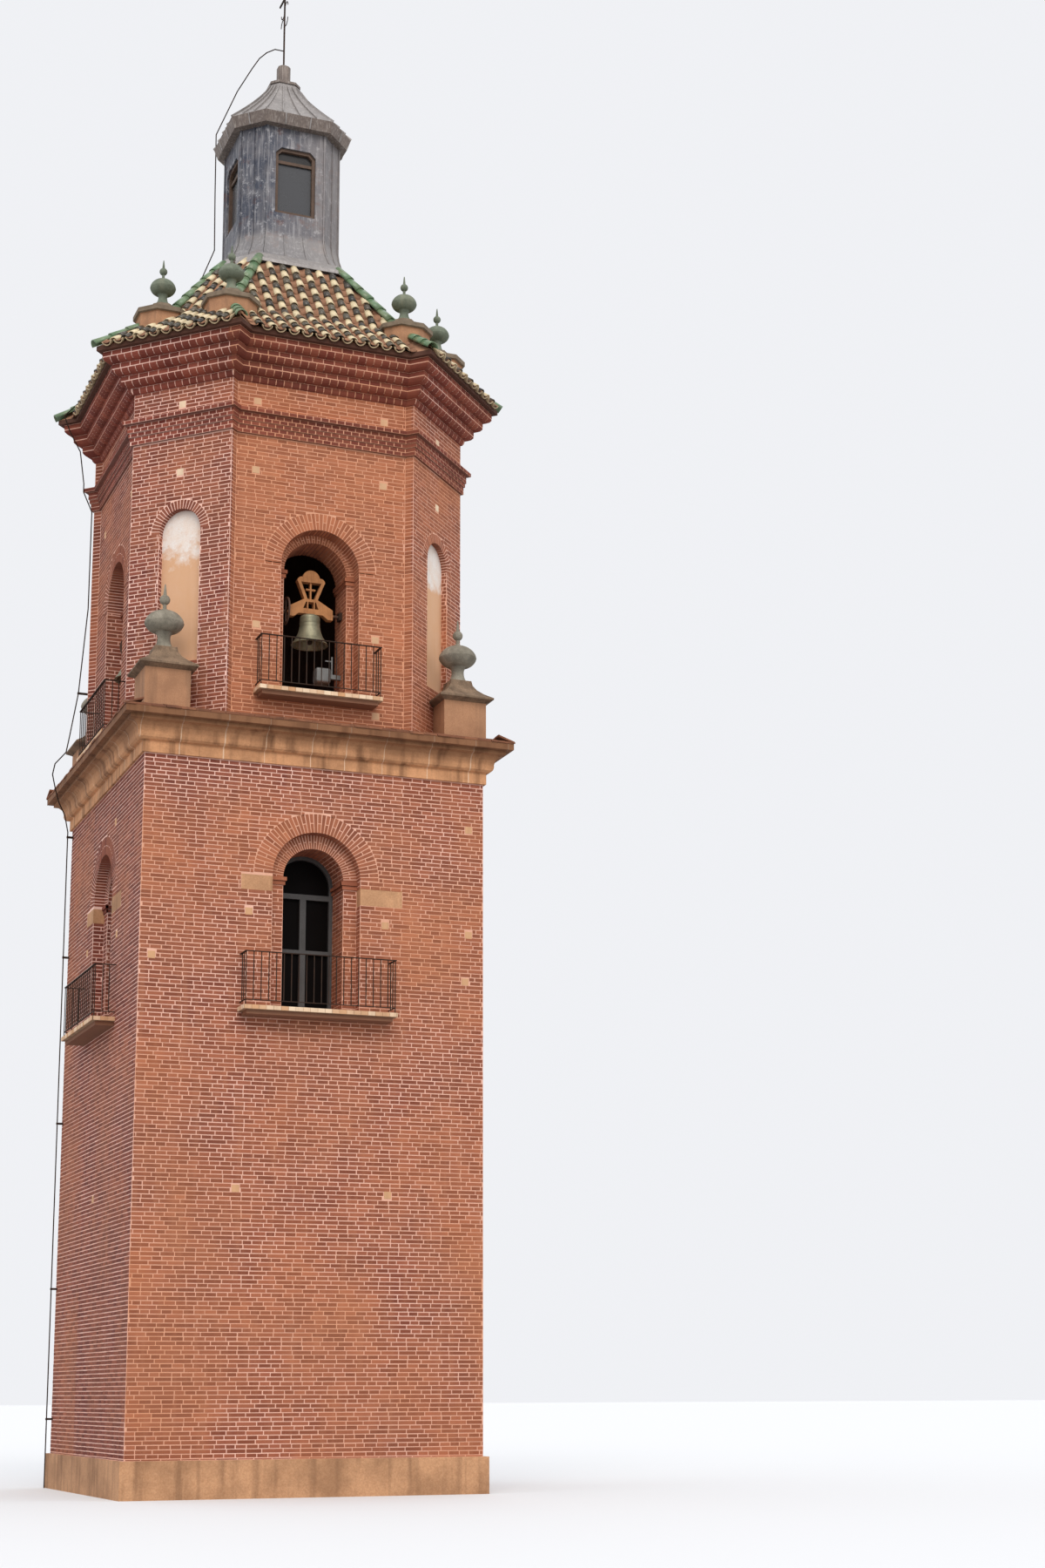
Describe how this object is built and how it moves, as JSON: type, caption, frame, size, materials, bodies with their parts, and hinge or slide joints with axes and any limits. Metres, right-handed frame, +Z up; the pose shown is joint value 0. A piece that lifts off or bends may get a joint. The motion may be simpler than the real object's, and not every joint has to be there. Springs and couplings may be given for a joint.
{
  "type": "church bell tower",
  "caption": "Brick bell tower with a square shaft, octagonal belfry, two hanging bells, balconies, tiled roof and a small lantern with a cross.",
  "frame": {"origin": "centre of the square foot, on the ground", "axes": "+Z up the tower, -Y out of the front face, +X to the right of someone looking at the front"},
  "size_m": [7.7812, 7.7812, 28.89],
  "materials": {
    "back_belfry_wall": "fired brick",
    "back_shaft_wall": "fired brick",
    "balcony_door_frames": "grey paint",
    "balcony_door_panes": "dusty",
    "belfry_balcony_slabs": "glazed edge tile",
    "belfry_floor": "worn clay tile",
    "belfry_railings": "dull black paint",
    "bell_bearings": "cast",
    "cable_brackets": "galvanised",
    "conductor_cable": "bare wire",
    "corner_pedestal_caps": "weathered",
    "corner_pedestals": "painted plaster",
    "corner_urns": "weathered glaze",
    "cross": "wrought iron",
    "diagonal_belfry_walls": "fired brick",
    "entrance_door": "weathered boards",
    "finial_post": "lead sheet",
    "front_belfry_wall": "fired brick",
    "front_bell": "weathered bronze",
    "front_clapper": "forged",
    "front_shaft_wall": "fired brick",
    "front_yoke": "oiled wood",
    "ground_floor": "worn clay tile",
    "hip_tiles": "green glaze",
    "impost_stones": "cut sandstone",
    "lantern_corner_walls": "lead sheet",
    "lantern_cornice": "lead sheet",
    "lantern_panes": "dusty",
    "lantern_roof": "lead sheet",
    "lantern_skirt": "lead sheet",
    "lantern_walls": "lead sheet",
    "lantern_window_frames": "brown paint",
    "left_belfry_wall": "fired brick",
    "left_bell": "weathered bronze",
    "left_clapper": "forged",
    "left_shaft_wall": "fired brick",
    "left_yoke": "oiled wood",
    "lower_cornice": "cut sandstone",
    "niche_plaster": "peeling plaster",
    "plinth": "rough cut stone",
    "right_belfry_wall": "fired brick",
    "right_shaft_wall": "fired brick",
    "roof_pedestals": "painted plaster",
    "roof_shell": "glazed roof tile",
    "roof_urns": "weathered glaze",
    "shaft_balcony_slabs": "weathered",
    "shaft_railings": "dull black paint",
    "striking_motor": "grey paint",
    "string_course": "fired brick",
    "terrace": "clay tile",
    "upper_cornice": "fired brick",
    "upper_floor": "worn clay tile"
  },
  "bodies": {
    "tower": {"back_belfry_wall": "back_belfry_wall", "back_shaft_wall": "back_shaft_wall", "balcony_door_frames": "balcony_door_frames", "balcony_door_panes": "balcony_door_panes", "belfry_balcony_slabs": "belfry_balcony_slabs", "belfry_floor": "belfry_floor", "belfry_railings": "belfry_railings", "bell_bearings": "bell_bearings", "cable_brackets": "cable_brackets", "conductor_cable": "conductor_cable", "corner_pedestal_caps": "corner_pedestal_caps", "corner_pedestals": "corner_pedestals", "corner_urns": "corner_urns", "cross": "cross", "diagonal_belfry_walls": "diagonal_belfry_walls", "entrance_door": "entrance_door", "finial_post": "finial_post", "front_belfry_wall": "front_belfry_wall", "front_shaft_wall": "front_shaft_wall", "ground_floor": "ground_floor", "hip_tiles": "hip_tiles", "impost_stones": "impost_stones", "lantern_corner_walls": "lantern_corner_walls", "lantern_cornice": "lantern_cornice", "lantern_panes": "lantern_panes", "lantern_roof": "lantern_roof", "lantern_skirt": "lantern_skirt", "lantern_walls": "lantern_walls", "lantern_window_frames": "lantern_window_frames", "left_belfry_wall": "left_belfry_wall", "left_shaft_wall": "left_shaft_wall", "lower_cornice": "lower_cornice", "niche_plaster": "niche_plaster", "plinth": "plinth", "right_belfry_wall": "right_belfry_wall", "right_shaft_wall": "right_shaft_wall", "roof_pedestals": "roof_pedestals", "roof_shell": "roof_shell", "roof_urns": "roof_urns", "shaft_balcony_slabs": "shaft_balcony_slabs", "shaft_railings": "shaft_railings", "striking_motor": "striking_motor", "string_course": "string_course", "terrace": "terrace", "upper_cornice": "upper_cornice", "upper_floor": "upper_floor"},
    "front_bell": {"front_bell": "front_bell", "front_yoke": "front_yoke"},
    "front_clapper": {"front_clapper": "front_clapper"},
    "left_bell": {"left_bell": "left_bell", "left_yoke": "left_yoke"},
    "left_clapper": {"left_clapper": "left_clapper"}
  },
  "joints": [
    {"name": "front_bell_turn", "type": "hinge", "parent": "tower", "child": "front_bell", "pos_m": [0, -2.35, 15.02], "axis": [1, 0, 0], "continuous": true},
    {"name": "front_clapper_swing", "type": "hinge", "parent": "front_bell", "child": "front_clapper", "pos_m": [0, -2.35, 14.89], "axis": [1, 0, 0], "range_deg": [-22, 22]},
    {"name": "left_bell_turn", "type": "hinge", "parent": "tower", "child": "left_bell", "pos_m": [-2.5, 0, 14.95], "axis": [0, 1, 0], "continuous": true},
    {"name": "left_clapper_swing", "type": "hinge", "parent": "left_bell", "child": "left_clapper", "pos_m": [-2.5, 0, 14.82], "axis": [0, 1, 0], "range_deg": [-22, 22]}
  ]
}
